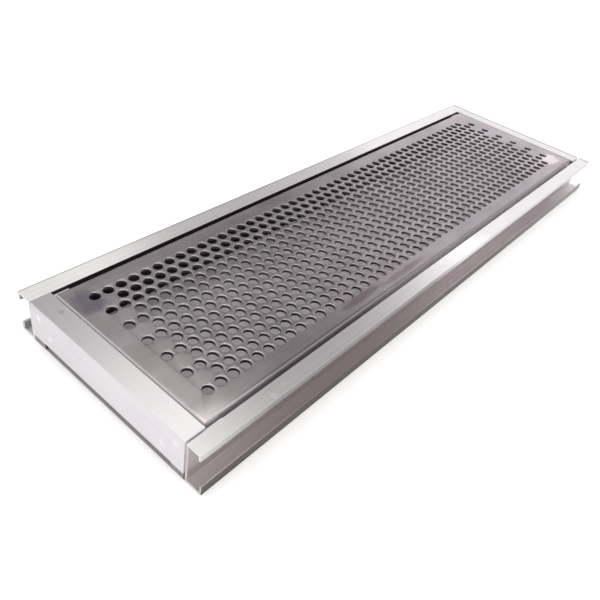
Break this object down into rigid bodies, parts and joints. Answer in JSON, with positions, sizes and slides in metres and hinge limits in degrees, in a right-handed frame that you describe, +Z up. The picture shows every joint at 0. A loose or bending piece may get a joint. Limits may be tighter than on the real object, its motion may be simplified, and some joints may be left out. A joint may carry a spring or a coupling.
{
  "type": "baguette tray",
  "caption": "Shallow rectangular frame of two lipped channels and two end angles that holds a lift-out perforated plate above a slide-out crumb tray.",
  "frame": {"origin": "centre of the footprint, on the plane that the bottom flanges rest on", "axes": "+X along the length, away from the end that the crumb tray slides out of; +Y to the back; +Z up"},
  "size_m": [0.66, 0.203, 0.038],
  "materials": {
    "mill_aluminium": "mill finish, drawn lengthwise",
    "satin_stainless": "satin",
    "sheet_stainless": "cold rolled, dull",
    "folded_sheet": "cold rolled, dull and dark",
    "rivet": "dressed flush"
  },
  "bodies": {
    "frame": {"front_rail": "mill_aluminium", "back_rail": "mill_aluminium", "left_end": "mill_aluminium", "right_end": "mill_aluminium", "front_ledge": "folded_sheet", "back_ledge": "folded_sheet", "front_runner": "folded_sheet", "back_runner": "folded_sheet", "corner_cleat_front_left": "folded_sheet", "corner_cleat_front_right": "folded_sheet", "corner_cleat_back_left": "folded_sheet", "corner_cleat_back_right": "folded_sheet", "cleat_rivets_front_left": "rivet", "cleat_rivets_front_right": "rivet", "cleat_rivets_back_left": "rivet", "cleat_rivets_back_right": "rivet", "front_ledge_rivets": "rivet", "back_ledge_rivets": "rivet", "front_runner_rivets": "rivet", "back_runner_rivets": "rivet"},
    "plate": {"perforated_plate": "satin_stainless"},
    "tray": {"crumb_tray": "sheet_stainless"}
  },
  "joints": [
    {"name": "plate_lift", "type": "slide", "parent": "frame", "child": "plate", "axis": [0, 0, 1], "range_m": [0, 0.06]},
    {"name": "tray_slide", "type": "slide", "parent": "frame", "child": "tray", "axis": [-1, 0, 0], "range_m": [0, 0.66]}
  ]
}
